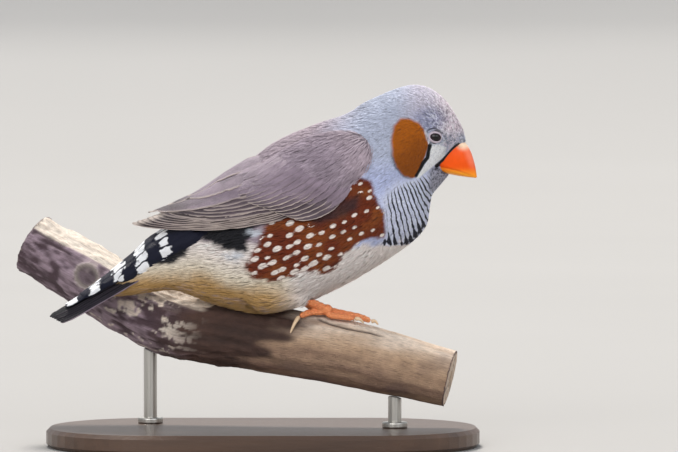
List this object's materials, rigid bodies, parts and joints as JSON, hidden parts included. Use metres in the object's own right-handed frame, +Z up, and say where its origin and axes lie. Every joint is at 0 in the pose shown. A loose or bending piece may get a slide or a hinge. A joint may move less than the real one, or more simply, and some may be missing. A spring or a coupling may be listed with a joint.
{
  "type": "zebra finch model",
  "caption": "Life-size still model of a male zebra finch crouched on a short cut branch, held over a flat base by two short rods.",
  "frame": {"origin": "centre of the underside of the display stand's base", "axes": "+X is the way the bird faces, +Z is up, and the bird's right side is towards -Y; the bird's mid plane is Y = 0"},
  "size_m": [0.1104, 0.0551, 0.0851],
  "materials": {
    "body_plumage": "soft grey body feathers",
    "wing_feathers": "grey-brown flight feathers with paler edges",
    "tail_feathers": "black, barred with white on the coverts",
    "belly_plumage": "cream and buff down",
    "bill_horn": "waxy orange-red horn",
    "eye_gloss": "wet dark reddish brown",
    "leg_skin": "orange-pink scutes",
    "claw_horn": "translucent pale horn",
    "branch_bark": "weathered bark, bleached on top",
    "stand_wood": "dark stained wood, satin",
    "stand_metal": "brushed steel"
  },
  "bodies": {
    "root": {"bill_lower": "bill_horn", "bill_upper": "bill_horn", "claw_hind_l": "claw_horn", "claw_hind_r": "claw_horn", "claw_inner_l": "claw_horn", "claw_inner_r": "claw_horn", "claw_middle_l": "claw_horn", "claw_middle_r": "claw_horn", "claw_outer_l": "claw_horn", "claw_outer_r": "claw_horn", "eye_l": "eye_gloss", "eye_r": "eye_gloss", "head": "body_plumage", "neck": "body_plumage", "perch": "branch_bark", "stand_base": "stand_wood", "stand_rod_a": "stand_metal", "stand_rod_b": "stand_metal", "tail": "tail_feathers", "tarsus_l": "leg_skin", "tarsus_r": "leg_skin", "thigh_l": "belly_plumage", "thigh_r": "belly_plumage", "toe_hind_l": "leg_skin", "toe_hind_r": "leg_skin", "toe_inner_l": "leg_skin", "toe_inner_r": "leg_skin", "toe_middle_l": "leg_skin", "toe_middle_r": "leg_skin", "toe_outer_l": "leg_skin", "toe_outer_r": "leg_skin", "torso": "body_plumage", "undertail": "belly_plumage", "uppertail_coverts": "tail_feathers", "wing_l": "wing_feathers", "wing_r": "wing_feathers"}
  },
  "joints": []
}
